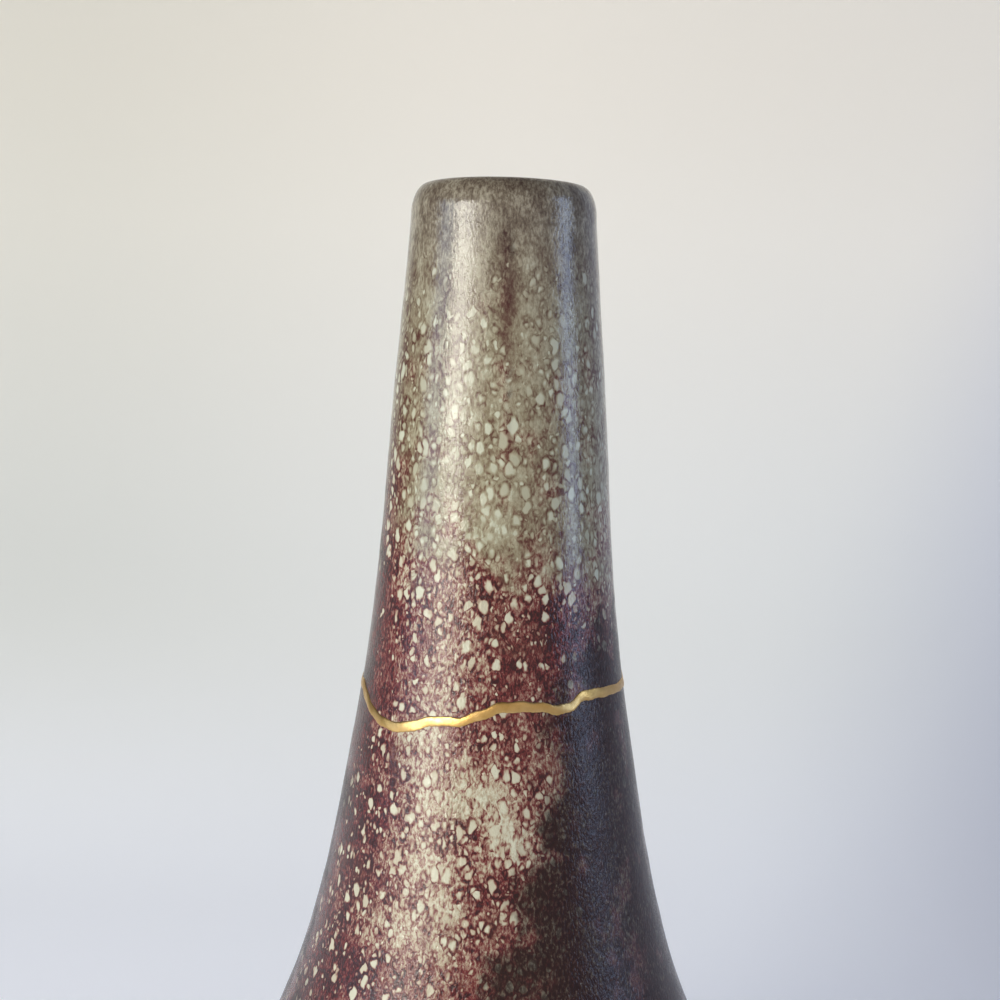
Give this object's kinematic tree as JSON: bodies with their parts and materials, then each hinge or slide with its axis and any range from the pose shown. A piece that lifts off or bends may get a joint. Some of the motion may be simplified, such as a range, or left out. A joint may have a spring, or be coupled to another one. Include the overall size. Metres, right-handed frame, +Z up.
{
  "type": "kintsugi vase",
  "caption": "Tall pear-shaped stoneware bottle vase with a long tapering neck, mended round the root of the neck with a raised gold seam.",
  "frame": {"origin": "on the vase's axis, in the plane that its foot stands on", "axes": "+Z up along the axis, -Y towards the side that the picture shows"},
  "size_m": [0.136, 0.136, 0.3035],
  "materials": {
    "body_glaze": "satin-gloss oxblood glaze under a net of cream cells",
    "neck_glaze": "satin-gloss ash glaze, olive at the lip, in cream cells with dark red lines",
    "gold": "burnished satin gold dust on lacquer"
  },
  "bodies": {
    "root": {"vase_body": "body_glaze", "vase_neck": "neck_glaze", "gold_seam": "gold"}
  },
  "joints": []
}
